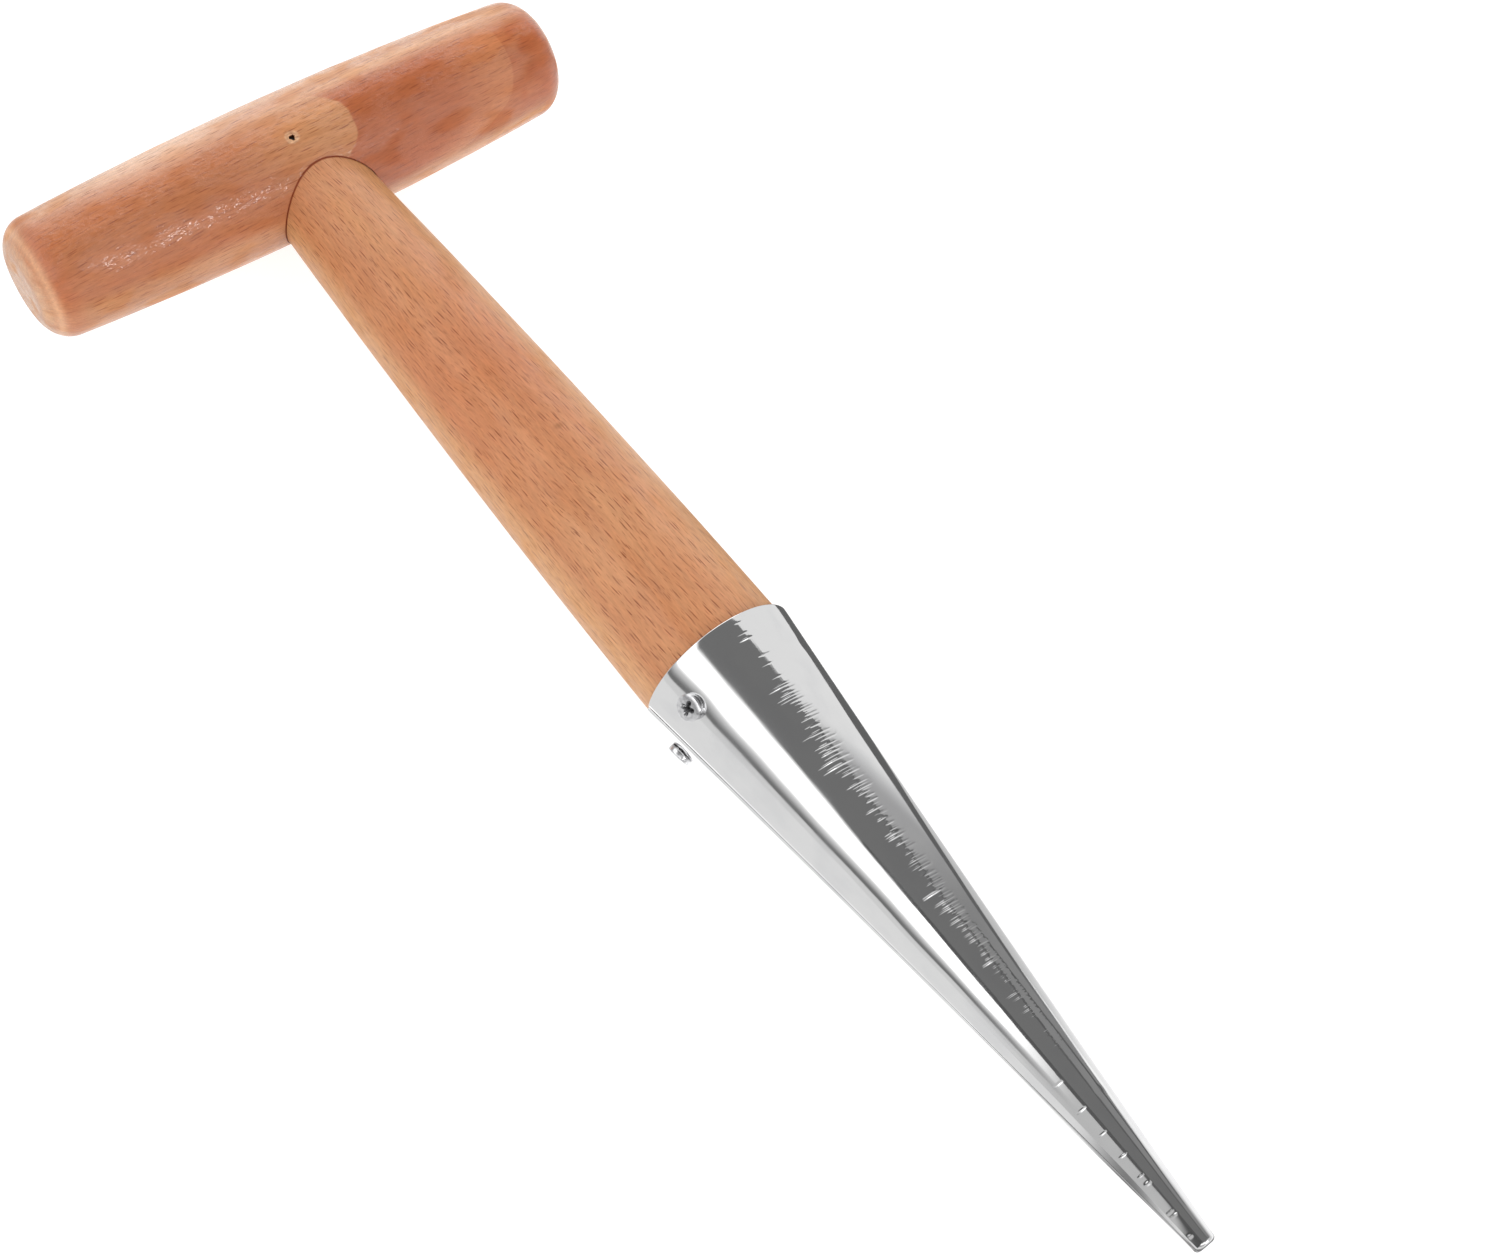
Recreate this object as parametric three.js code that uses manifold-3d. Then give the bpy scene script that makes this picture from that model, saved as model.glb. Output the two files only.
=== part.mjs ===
// A garden dibber: a turned beech crossbar, a turned beech shaft let into it, and a cone rolled
// from sheet steel over the shaft's lower end, held by two cross-head screws beside its open seam.
//
// Millimetres, +Z up. The dibber lies on its side, as it is laid on a bench: the shaft points
// along +X, the crossbar runs along Y, and the crossbar's belly and the cone's rim both touch
// z = 0. The origin is the middle of the footprint, at the height of the bench.

import * as THREE from "three";
import { mergeVertices } from "three/addons/utils/BufferGeometryUtils.js";
import Module from "manifold-3d";

const wasm = await Module();
wasm.setup();

// ---------------------------------------------------------------- driving dimensions

const FIT_GAP = 0.3; // clearance between pieces that touch

// Crossbar: a shallow barrel with rounded-over ends, its socket drilled a little off centre
const BAR_LENGTH = 122.5;
const BAR_MID_RADIUS = 14.6;
const BAR_END_RADIUS = 12.8; // where the rounding-over of an end starts
const BAR_ROUND_ALONG = 6.2; // length of the rounding-over along the bar
const BAR_ROUND_ACROSS = 6.7; // its depth, which leaves a flat disc of end grain
const BAR_RISE = 1.3; // height of the crossbar's axis above the shaft's axis
const BAR_SHIFT = -0.7; // where the crossbar's middle lies along Y

// Shaft: a tenon in the crossbar, then a flare down to the cone's rim
const TENON_RADIUS = 11.3;
const TENON_REACH = 1; // how far the tenon runs past the crossbar's axis
const TENON_CHAMFER = 0.5;
const RIM_X = 146; // from the crossbar's axis to the cone's rim
const FLARE_POWER = 1.75; // above 1, the flare eases off towards the rim

// Cone: rolled sheet, open along its seam and closed at a blunt tip
const CONE_LENGTH = 131.5;
const CONE_RIM_RADIUS = 16.2;
const CONE_TIP_RADIUS = 2.1;
const CONE_HOLLOWING = 0.3; // how far mid-length lies inside a straight taper
const TIP_ROUNDING = 0.9;
const SHEET = 0.9;
const SOLID_TIP = 14; // length of the closed end
const SPIGOT_LENGTH = 92; // how far the wood reaches into the cone
const SEAM_ANGLE = -86; // degrees about the shaft's axis, from +Z towards +Y
const SEAM_AT_RIM = 1;
const SEAM_AT_TIP = 0.35;

// Two pan-head cross-recess screws, one on each side of the seam
const SCREWS = [
  { name: "sheath_screw_upper", angle: SEAM_ANGLE + 31, fromRim: 7.6, turn: 20 },
  { name: "sheath_screw_lower", angle: SEAM_ANGLE - 27, fromRim: 8.4, turn: 65 },
];
const SCREW_HEAD_RADIUS = 2.5;
const SCREW_HEAD_HEIGHT = 1.7;
const SCREW_SHANK_RADIUS = 1.25;
const SCREW_SHANK_LENGTH = 9.5;
const RECESS_SPAN = 2.9; // across the cross recess
const RECESS_SLOT = 0.75;
const RECESS_DEPTH = 1;

// Brad: driven through the crossbar into the tenon, its head set below the surface
const BRAD_ANGLE = 21.5; // degrees about the crossbar's axis, from +Z towards +X
const BRAD_Y = -2.1; // from the crossbar's middle
const BRAD_SET = 1.6; // depth of the head below the wood
const BRAD_HEAD_RADIUS = 0.8;
const BRAD_HEAD_HEIGHT = 0.7;
const BRAD_SHANK_RADIUS = 0.6;
const BRAD_LENGTH = 13.5;

// Facets round each turned piece, all multiples of 4
const BAR_FACETS = 60;
const SHAFT_FACETS = 52;
const CONE_FACETS = 64;
const SCREW_FACETS = 24;
const BRAD_FACETS = 12;

const BEECH = new THREE.MeshStandardMaterial({ color: 0xd69670, roughness: 0.5, metalness: 0 });
const BEECH_BAR = new THREE.MeshStandardMaterial({ color: 0xc98558, roughness: 0.5, metalness: 0 });
const STEEL = new THREE.MeshStandardMaterial({ color: 0xd2d4d6, roughness: 0.2, metalness: 1 });
const ZINC = new THREE.MeshStandardMaterial({ color: 0xb4b6b8, roughness: 0.3, metalness: 1 });

// ---------------------------------------------------------------- shape helpers

const radians = THREE.MathUtils.degToRad;

// count + 1 evenly spaced values from a to b.
function steps(a, b, count) {
  return Array.from({ length: count + 1 }, (_, i) => a + ((b - a) * i) / count);
}

// A solid turned about its own +Y, from [radius, height] points that start and end on the axis.
function turned(profile, facets) {
  const points = profile.map(([radius, height]) => new THREE.Vector2(radius, height));
  return solid(new THREE.LatheGeometry(points, facets));
}

// A closed three.js geometry as a manifold solid.
function solid(geometry) {
  const bare = geometry.clone();
  bare.deleteAttribute("normal");
  bare.deleteAttribute("uv");
  const merged = mergeVertices(bare, 1e-4);
  return new wasm.Manifold(
    new wasm.Mesh({
      numProp: 3,
      vertProperties: new Float32Array(merged.attributes.position.array),
      triVerts: new Uint32Array(merged.index.array),
    }),
  );
}

// The solid moved by a three.js matrix.
function moved(piece, matrix) {
  return piece.transform(matrix.elements);
}

// A manifold solid as a named mesh.
function named(name, piece, material) {
  const mesh = piece.getMesh();
  const geometry = new THREE.BufferGeometry();
  geometry.setAttribute("position", new THREE.BufferAttribute(mesh.vertProperties, 3));
  geometry.setIndex(new THREE.BufferAttribute(mesh.triVerts, 1));
  geometry.computeVertexNormals();
  const result = new THREE.Mesh(geometry, material);
  result.name = name;
  return result;
}

// Lays a turned piece down: its own +Y becomes the shaft's +X.
const ALONG_SHAFT = new THREE.Matrix4().makeRotationZ(-Math.PI / 2);

// From the crossbar's frame to the shaft's.
const TO_SHAFT = new THREE.Matrix4().makeTranslation(0, BAR_SHIFT, BAR_RISE);

// ---------------------------------------------------------------- outlines

// Radius of the crossbar at a distance from its middle, before the rounding-over.
function barRadius(distance) {
  const share = distance / (BAR_LENGTH / 2 - BAR_ROUND_ALONG);
  return BAR_MID_RADIUS - (BAR_MID_RADIUS - BAR_END_RADIUS) * share ** 2;
}

// Outer radius of the cone at a distance from its rim.
function coneRadius(fromRim) {
  const share = fromRim / CONE_LENGTH;
  const straight = CONE_RIM_RADIUS + (CONE_TIP_RADIUS - CONE_RIM_RADIUS) * share;
  return straight - 4 * CONE_HOLLOWING * share * (1 - share);
}

// Radius of the wood inside the cone at a distance from its rim.
function spigotRadius(fromRim) {
  return coneRadius(fromRim) - SHEET - FIT_GAP;
}

// Radius of the bare shaft at a distance from the crossbar's axis.
function shaftRadius(x) {
  const share = (x - BAR_MID_RADIUS) / (RIM_X - BAR_MID_RADIUS);
  return TENON_RADIUS + (spigotRadius(0) - TENON_RADIUS) * (1 - (1 - share) ** FLARE_POWER);
}

// ---------------------------------------------------------------- cutters

// The wedge taken out of the cone along its seam, wider at the rim.
function seamWedge() {
  const end = CONE_LENGTH - SOLID_TIP;
  const outline = new THREE.Shape([
    new THREE.Vector2(-1, -SEAM_AT_RIM / 2),
    new THREE.Vector2(end, -SEAM_AT_TIP / 2),
    new THREE.Vector2(end, SEAM_AT_TIP / 2),
    new THREE.Vector2(-1, SEAM_AT_RIM / 2),
  ]);
  const depth = CONE_RIM_RADIUS + 1;
  const wedge = new THREE.ExtrudeGeometry(outline, { depth, bevelEnabled: false });
  const place = new THREE.Matrix4().makeRotationX(-radians(SEAM_ANGLE));
  return moved(solid(wedge), place.setPosition(RIM_X, 0, 0));
}

// Where a screw sits: its own +Y points out of the cone, square to the sheet.
function screwPlace({ angle, fromRim, turn }) {
  const slope = Math.atan2(coneRadius(fromRim) - coneRadius(fromRim + 1), 1);
  const place = new THREE.Matrix4().makeTranslation(RIM_X + fromRim, 0, 0);
  place.multiply(new THREE.Matrix4().makeRotationX(-radians(angle) + Math.PI / 2));
  place.multiply(new THREE.Matrix4().makeTranslation(0, coneRadius(fromRim), 0));
  place.multiply(new THREE.Matrix4().makeRotationZ(-slope));
  return place.multiply(new THREE.Matrix4().makeRotationY(radians(turn)));
}

// A hole round a screw's shank.
function screwHole(screw) {
  const radius = SCREW_SHANK_RADIUS + FIT_GAP;
  const bottom = -SCREW_SHANK_LENGTH - 1;
  const cutter = turned([[0, bottom], [radius, bottom], [radius, 4], [0, 4]], SCREW_FACETS);
  return moved(cutter, screwPlace(screw));
}

// Where the brad sits in the crossbar's frame: its own +Y points out along the hole.
function bradPlace() {
  const place = new THREE.Matrix4().makeRotationY(radians(BRAD_ANGLE));
  place.multiply(new THREE.Matrix4().makeRotationX(Math.PI / 2));
  return place.setPosition(0, BRAD_Y, 0);
}

// The stepped hole that the brad is driven into.
function bradHole() {
  const shelf = barRadius(Math.abs(BRAD_Y)) - BRAD_SET - BRAD_HEAD_HEIGHT - FIT_GAP;
  const bottom = shelf - BRAD_LENGTH - FIT_GAP;
  const wide = BRAD_HEAD_RADIUS + FIT_GAP;
  const narrow = BRAD_SHANK_RADIUS + FIT_GAP;
  const top = BAR_MID_RADIUS + 1;
  const profile = [[0, bottom], [narrow, bottom], [narrow, shelf], [wide, shelf], [wide, top], [0, top]];
  return moved(turned(profile, BRAD_FACETS), bradPlace());
}

// ---------------------------------------------------------------- the pieces

// The crossbar in its own frame, with its middle at the origin.
function crossbar() {
  const half = BAR_LENGTH / 2;
  const roundStart = half - BAR_ROUND_ALONG;
  const belly = steps(-roundStart, roundStart, 16).map((y) => [barRadius(Math.abs(y)), y]);
  const round = steps(0, Math.PI / 2, 7)
    .slice(1)
    .map((a) => [
      BAR_END_RADIUS - BAR_ROUND_ACROSS * (1 - Math.cos(a)),
      roundStart + BAR_ROUND_ALONG * Math.sin(a),
    ]);
  const lowerRound = round.map(([radius, y]) => [radius, -y]).reverse();
  const blank = turned([[0, -half], ...lowerRound, ...belly, ...round, [0, half]], BAR_FACETS);

  const mortiseRadius = TENON_RADIUS + FIT_GAP;
  const mortiseEnd = -TENON_REACH - FIT_GAP;
  const mouth = BAR_MID_RADIUS + 1;
  const mortise = turned(
    [[0, mortiseEnd], [mortiseRadius, mortiseEnd], [mortiseRadius, mouth], [0, mouth]],
    SHAFT_FACETS,
  );
  const place = TO_SHAFT.clone().invert().multiply(ALONG_SHAFT);
  return named("crossbar", blank.subtract(moved(mortise, place)).subtract(bradHole()), BEECH_BAR);
}

function shaft() {
  const tenon = [
    [0, -TENON_REACH],
    [TENON_RADIUS - TENON_CHAMFER, -TENON_REACH],
    [TENON_RADIUS, -TENON_REACH + TENON_CHAMFER],
  ];
  const flare = steps(BAR_MID_RADIUS, RIM_X, 14).map((x) => [shaftRadius(x), x]);
  const spigot = steps(0, SPIGOT_LENGTH, 6)
    .slice(1)
    .map((fromRim) => [spigotRadius(fromRim), RIM_X + fromRim]);
  let piece = moved(
    turned([...tenon, ...flare, ...spigot, [0, RIM_X + SPIGOT_LENGTH]], SHAFT_FACETS),
    ALONG_SHAFT,
  );
  for (const screw of SCREWS) piece = piece.subtract(screwHole(screw));
  return named("shaft", piece.subtract(moved(bradHole(), TO_SHAFT)), BEECH);
}

function coneSheath() {
  const outside = steps(0, CONE_LENGTH - TIP_ROUNDING, 8).map((x) => [coneRadius(x), RIM_X + x]);
  const rounding = steps(0, Math.PI / 2, 4)
    .slice(1)
    .map((a) => [
      coneRadius(CONE_LENGTH - TIP_ROUNDING) - TIP_ROUNDING * (1 - Math.cos(a)),
      RIM_X + CONE_LENGTH - TIP_ROUNDING * (1 - Math.sin(a)),
    ]);
  const hollowEnd = CONE_LENGTH - SOLID_TIP;
  const inside = steps(hollowEnd, 0, 8).map((x) => [coneRadius(x) - SHEET, RIM_X + x]);
  const profile = [[0, RIM_X + hollowEnd], ...inside, ...outside, ...rounding, [0, RIM_X + CONE_LENGTH]];
  let piece = moved(turned(profile, CONE_FACETS), ALONG_SHAFT).subtract(seamWedge());
  for (const screw of SCREWS) piece = piece.subtract(screwHole(screw));
  return named("cone_sheath", piece, STEEL);
}

// A domed pan head over a plain shank, with a cross recess in its top.
function screwBlank() {
  const dome = steps(0, Math.PI / 2, 5).map((a) => [
    SCREW_HEAD_RADIUS * Math.cos(a),
    FIT_GAP + SCREW_HEAD_HEIGHT * (0.45 + 0.55 * Math.sin(a)),
  ]);
  const profile = [
    [0, -SCREW_SHANK_LENGTH],
    [SCREW_SHANK_RADIUS, -SCREW_SHANK_LENGTH + 2 * SCREW_SHANK_RADIUS],
    [SCREW_SHANK_RADIUS, FIT_GAP],
    [SCREW_HEAD_RADIUS, FIT_GAP],
    ...dome,
  ];
  const head = turned(profile, SCREW_FACETS);
  const arm = new THREE.BoxGeometry(RECESS_SPAN, 2 * RECESS_DEPTH, RECESS_SLOT);
  const top = new THREE.Matrix4().makeTranslation(0, FIT_GAP + SCREW_HEAD_HEIGHT, 0);
  const across = top.clone().multiply(new THREE.Matrix4().makeRotationY(Math.PI / 2));
  return head.subtract(moved(solid(arm), top)).subtract(moved(solid(arm), across));
}

// The brad in the crossbar's frame.
function brad() {
  const top = barRadius(Math.abs(BRAD_Y)) - BRAD_SET;
  const neck = top - BRAD_HEAD_HEIGHT;
  const point = neck - BRAD_LENGTH;
  const profile = [
    [0, point],
    [BRAD_SHANK_RADIUS, point + 3 * BRAD_SHANK_RADIUS],
    [BRAD_SHANK_RADIUS, neck],
    [BRAD_HEAD_RADIUS, neck],
    [BRAD_HEAD_RADIUS, top],
    [0, top],
  ];
  return named("crossbar_brad", moved(turned(profile, BRAD_FACETS), bradPlace()), ZINC);
}

// ---------------------------------------------------------------- assembly

const handle = new THREE.Group();
handle.applyMatrix4(TO_SHAFT);
handle.add(crossbar(), brad());

// Tips the dibber so that the crossbar's belly and the cone's rim rest on one plane.
const lie = new THREE.Group();
lie.rotation.y = -Math.asin((CONE_RIM_RADIUS - BAR_MID_RADIUS + BAR_RISE) / RIM_X);
lie.add(handle, shaft(), coneSheath());
const blank = screwBlank();
for (const screw of SCREWS) lie.add(named(screw.name, moved(blank, screwPlace(screw)), ZINC));

// Moves the footprint's middle to the origin, with the lowest point at z = 0.
const dibber = new THREE.Group();
dibber.add(lie);
const reach = new THREE.Box3().setFromObject(dibber, true);
lie.position.set(-(reach.min.x + reach.max.x) / 2, -(reach.min.y + reach.max.y) / 2, -reach.min.z);

export default dibber;
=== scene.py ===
"""The looks of a garden dibber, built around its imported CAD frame.

The dibber lies on its side: a turned beech crossbar, a turned beech shaft let into it, and a cone
rolled from polished sheet steel, with two cross-head screws beside its open seam.

Every piece is modelled in millimetres in its own frame, which is what the lengths below are in,
and is then placed in the row frame in metres. Angles about the shaft run from +Z towards +Y.
"""

import bisect
import math
import random
from collections import namedtuple

import bmesh
import bpy
from mathutils import Matrix, Vector, noise


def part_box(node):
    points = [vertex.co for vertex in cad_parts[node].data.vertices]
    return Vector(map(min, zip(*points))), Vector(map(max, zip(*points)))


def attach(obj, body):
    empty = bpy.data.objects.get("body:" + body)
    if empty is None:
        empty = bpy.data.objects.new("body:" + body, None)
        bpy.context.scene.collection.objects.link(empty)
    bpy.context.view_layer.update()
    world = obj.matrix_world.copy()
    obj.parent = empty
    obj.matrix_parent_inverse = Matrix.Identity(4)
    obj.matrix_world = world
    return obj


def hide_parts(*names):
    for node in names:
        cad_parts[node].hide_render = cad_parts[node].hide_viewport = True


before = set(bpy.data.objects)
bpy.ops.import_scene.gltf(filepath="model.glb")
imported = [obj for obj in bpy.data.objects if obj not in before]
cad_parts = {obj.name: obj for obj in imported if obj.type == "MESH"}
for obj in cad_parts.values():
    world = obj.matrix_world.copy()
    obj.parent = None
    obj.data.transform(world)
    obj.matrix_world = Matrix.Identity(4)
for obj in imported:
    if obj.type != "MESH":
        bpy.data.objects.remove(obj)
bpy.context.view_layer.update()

# ---------------- driving dimensions, as in the CAD

MM = 0.001  # metres

FIT_GAP = 0.3
BAR_LENGTH = 122.5
BAR_MID_RADIUS = 14.6
BAR_END_RADIUS = 12.8
BAR_ROUND_ALONG = 6.2
BAR_ROUND_ACROSS = 6.7
BAR_RISE = 1.3
BAR_SHIFT = -0.7

TENON_RADIUS = 11.3
TENON_REACH = 1
TENON_CHAMFER = 0.5
RIM_X = 146
FLARE_POWER = 1.75

CONE_LENGTH = 131.5
CONE_RIM_RADIUS = 16.2
CONE_TIP_RADIUS = 2.1
CONE_HOLLOWING = 0.3
TIP_ROUNDING = 0.9
SHEET = 0.9
SOLID_TIP = 14
SPIGOT_LENGTH = 92
SEAM_ANGLE = -86
SEAM_AT_RIM = 0.5
SEAM_AT_TIP = 0.3

Screw = namedtuple("Screw", "name angle from_rim turn")
SCREWS = [Screw("upper", SEAM_ANGLE + 31, 7.6, 20), Screw("lower", SEAM_ANGLE - 27, 8.4, 65)]
SCREW_HEAD_RADIUS = 2.5
SCREW_HEAD_HEIGHT = 1.7
SCREW_SHANK_LENGTH = 9.5
SCREW_HOLE_RADIUS = 1.55

BRAD_ANGLE = 21.5
BRAD_Y = -2.1
BRAD_SET = 1.6
BRAD_HEAD_RADIUS = 0.8
BRAD_HEAD_HEIGHT = 0.7
BRAD_SHANK_RADIUS = 0.6
BRAD_LENGTH = 13.5

# ---------------- finer dimensions, for looks alone

INSET = 0.02  # visible surfaces lie this far inside the CAD's, so that none leaves its box
SOCKET_GAP = 0.1  # between the shaft and the rim of its socket

BRAD_THROAT = 0.5  # radius to which the torn fibres close, just below the surface
BRAD_MOUTH = 0.58
TORN_DEPTH = 0.7
TORN_RADIUS = 2.6

SHEET_EDGE = 0.22  # radius on the sheet's cut edges
SHEET_CORE = 0.3  # radius of the pinhole left where the sheet is rolled tight
SHEET_CLOSING = 1.5  # the length over which the inner wall closes to that pinhole
SHEET_FLATS = 0.05  # depth of the soft flats that rolling leaves
SHEET_SEAT = 0.12  # how deep a screw draws the sheet in
SHEET_SEAT_RADIUS = 3.4
SEAM_PINCH = 0.4  # share by which the seam narrows over the solid tip
OUTER_WALL = SHEET / 2  # a point less deep than this in the sheet is on its outer wall

SCREW_TOP = SCREW_HEAD_HEIGHT - 0.2 - SHEET_SEAT  # the head looks a little flatter than the CAD's
SCREW_CORE = 1.0  # radius under the thread
SCREW_THREAD = 0.4
SCREW_PITCH = 1.1
SCREW_POINT = 2.2  # length of the bare end below the thread
RECESS_HALF_WIDTH = 0.5
RECESS_HALF_SPAN = 1.6
RECESS_DEPTH = 1.35

BAR_FACETS = 176
SHAFT_FACETS = 160
HOLE_FACETS = 40
SCREW_FACETS = 72
BRAD_FACETS = 36

# Fine creases that the rolling left across the sheet: the place of each, half its length, half its
# width and its depth. The long row along the cone's top is drawn at random.
Crease = namedtuple("Crease", "from_rim angle reach width depth")
CHATTER_START = 1.5
CHATTER_END = 97
CHATTER_ANGLE = 6
CHATTER_SEED = 7
CHATTER_GAP = 0.52
CHATTER_GAP_AT_RIM = 2.4
CHATTER_THICKENS = 0.13  # share of the row after which the creases lie close together
CHATTER_FADES = 0.75  # share of the row after which they get shallower
CHATTER_AREA = {"lengths": (0.4, 98.5), "angles": (-18, 19), "along": 12, "around": 3}
TIP_AREA = {"lengths": (95.5, 130), "angles": (-60, -19), "along": 10, "around": 3}
CREASE_LEAN = 0.06
CREASE_NEAR = 1.2  # a crease changes nothing further than this from its middle
TIP_CREASES = [
    Crease(97.4, -39, 1.0, 0.16, 0.07),
    Crease(102.9, -40, 1.2, 0.18, 0.09),
    Crease(107.9, -40, 1.1, 0.16, 0.07),
    Crease(112.6, -38, 1.1, 0.18, 0.09),
    Crease(116.8, -38, 0.8, 0.16, 0.07),
    Crease(118.4, -37, 0.8, 0.34, 0.11),
    Crease(123.9, -46, 1.0, 0.13, 0.06),
    Crease(124.7, -46, 1.3, 0.14, 0.07),
    Crease(128.7, -50, 0.6, 0.25, 0.1),
]

Dent = namedtuple("Dent", "from_rim angle reach depth")
DENTS = [Dent(102.2, 18, 0.75, 0.05), Dent(9, 50, 1.6, 0.07)]

LIE_ANGLE = math.asin((CONE_RIM_RADIUS - BAR_MID_RADIUS + BAR_RISE) / RIM_X)


# ---------------- frames

def rotation(degrees, axis):
    return Matrix.Rotation(math.radians(degrees), 4, axis)


def crossbar_centre():
    """The crossbar's centre in millimetres, from its CAD node's box. The socket cuts its +X side."""
    low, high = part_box("crossbar")
    middle = Vector((low.x, (low.y + high.y) / 2, low.z)) / MM
    return middle + Vector((BAR_MID_RADIUS, 0, BAR_MID_RADIUS))


# From the shaft's frame to the row frame, both in millimetres.
TURN = Matrix.Rotation(-LIE_ANGLE, 4, "Y")
SHAFT = Matrix.Translation(crossbar_centre() - TURN @ Vector((0, BAR_SHIFT, BAR_RISE))) @ TURN
SHAFT_BACK = SHAFT.inverted()
BAR = SHAFT @ Matrix.Translation((0, BAR_SHIFT, BAR_RISE))

# A turned piece's own axis is +Z: these lay it along the shaft and along the crossbar.
ALONG_SHAFT = rotation(90, "Y")
ALONG_BAR = rotation(-90, "X")


def bar_radius(distance):
    share = distance / (BAR_LENGTH / 2 - BAR_ROUND_ALONG)
    return BAR_MID_RADIUS - (BAR_MID_RADIUS - BAR_END_RADIUS) * share**2


def cone_radius(from_rim):
    share = from_rim / CONE_LENGTH
    straight = CONE_RIM_RADIUS + (CONE_TIP_RADIUS - CONE_RIM_RADIUS) * share
    return straight - 4 * CONE_HOLLOWING * share * (1 - share)


def spigot_radius(from_rim):
    return cone_radius(from_rim) - SHEET - FIT_GAP


def shaft_radius(x):
    share = (x - BAR_MID_RADIUS) / (RIM_X - BAR_MID_RADIUS)
    return TENON_RADIUS + (spigot_radius(0) - TENON_RADIUS) * (1 - (1 - share) ** FLARE_POWER)


def screw_place(screw):
    """Where a screw sits in the shaft's frame: its own +Z points out, square to the sheet."""
    radius = cone_radius(screw.from_rim)
    slope = math.atan(radius - cone_radius(screw.from_rim + 1))
    return (
        Matrix.Translation((RIM_X + screw.from_rim, 0, 0))
        @ rotation(-screw.angle, "X")
        @ Matrix.Translation((0, 0, radius))
        @ Matrix.Rotation(slope, 4, "Y")
        @ rotation(screw.turn, "Z")
    )


def brad_place():
    """Where the brad sits in the crossbar's frame: its own +Z points out along its hole."""
    return Matrix.Translation((0, BRAD_Y, 0)) @ rotation(BRAD_ANGLE, "Y")


# ---------------- mesh helpers

def new_mesh(name, points, faces, place):
    """A mesh object whose points, given in millimetres, are put in the row frame in metres."""
    mesh = bpy.data.meshes.new(name)
    mesh.from_pydata([tuple(p) for p in points], [], faces)
    mesh.transform(Matrix.Scale(MM, 4) @ place)
    made = bpy.data.objects.new(name, mesh)
    bpy.context.scene.collection.objects.link(made)
    return made


def turned(name, profile, facets, place, change=None):
    """A solid turned about +Z from (radius, height) points, whose two ends lie on the axis.
    change moves a point (angle, radius, height) in or out and gives its new radius."""
    bottom, *rings, top = profile
    points = [(0, 0, bottom[1])]
    for radius, height in rings:
        for step in range(facets):
            angle = 2 * math.pi * step / facets
            r = change(angle, radius, height) if change else radius
            points.append((r * math.cos(angle), r * math.sin(angle), height))
    points.append((0, 0, top[1]))
    last = len(points) - 1
    faces = []
    for step in range(facets):
        after = (step + 1) % facets
        faces.append((0, 1 + after, 1 + step))
        faces.append((last, last - facets + step, last - facets + after))
        for ring in range(len(rings) - 1):
            low = 1 + ring * facets
            high = low + facets
            faces.append((low + step, low + after, high + after, high + step))
    return new_mesh(name, points, faces, place)


def steps(start, end, count):
    """count + 1 evenly spaced numbers."""
    return [start + (end - start) * i / count for i in range(count + 1)]


def tube_faces(rings, size):
    """The faces between rings of size points each, which follow each other in one list."""
    faces = []
    for low in range(0, (rings - 1) * size, size):
        for i in range(size):
            j = (i + 1) % size
            faces.append((low + i, low + size + i, low + size + j, low + j))
    return faces


def cut(target, cutter):
    """Takes the cutter's volume out of the target, and removes the cutter."""
    modifier = target.modifiers.new("cut", "BOOLEAN")
    modifier.operation = "DIFFERENCE"
    modifier.solver = "MANIFOLD"
    modifier.object = cutter
    graph = bpy.context.evaluated_depsgraph_get()
    result = bpy.data.meshes.new_from_object(target.evaluated_get(graph))
    target.modifiers.clear()
    target.data = result
    bpy.data.objects.remove(cutter)


def shade(piece, sharp_angle):
    """Smooth shading, with hard edges only where the surface turns by more than sharp_angle."""
    piece.data.polygons.foreach_set("use_smooth", [True] * len(piece.data.polygons))
    piece.data.set_sharp_from_angle(angle=math.radians(sharp_angle))


def waver(x, y, z, size):
    """Smooth noise from -1 to 1 over a distance of about size."""
    return noise.noise(Vector((x, y, z)) / size)


def finished(piece, node, material, sharp_angle=35):
    """The piece stands for its CAD node, rides on the one body and has its material."""
    piece.data.materials.clear()
    piece.data.materials.append(material)
    shade(piece, sharp_angle)
    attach(piece, "root")
    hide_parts(node)


# ---------------- the turned wood

def hand_turned(depth, size):
    """The slight unevenness of sanded wood, always inwards, for turned()."""

    def change(angle, radius, height):
        uneven = waver(radius * math.cos(angle), radius * math.sin(angle), height, size)
        return radius - depth * (0.5 + 0.5 * uneven)

    return change


def brad_cutter():
    """The brad's stepped hole, its mouth ragged where the wood tore."""
    skin = bar_radius(abs(BRAD_Y))
    shelf = skin - BRAD_SET - BRAD_HEAD_HEIGHT - FIT_GAP
    bottom = shelf - BRAD_LENGTH - FIT_GAP
    narrow = BRAD_SHANK_RADIUS + 0.1
    wide = BRAD_HEAD_RADIUS + 0.05
    profile = [(0, bottom), (narrow, bottom), (narrow, shelf), (wide, shelf), (wide, skin - 0.9)]
    profile += [(BRAD_THROAT, skin - 0.5), (BRAD_MOUTH, skin), (0.9, skin + 1), (0, skin + 1)]

    def ragged(angle, radius, height):
        if height < skin - TORN_DEPTH:
            return radius
        uneven = waver(3 * math.cos(angle), 3 * math.sin(angle), height, 1.3)
        lobes = 0.5 + 0.5 * math.sin(3 * angle + 1) + uneven
        return radius * (0.9 + 0.35 * max(lobes, 0))

    return turned("brad_cutter", profile, HOLE_FACETS, BAR @ brad_place(), ragged)


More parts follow.
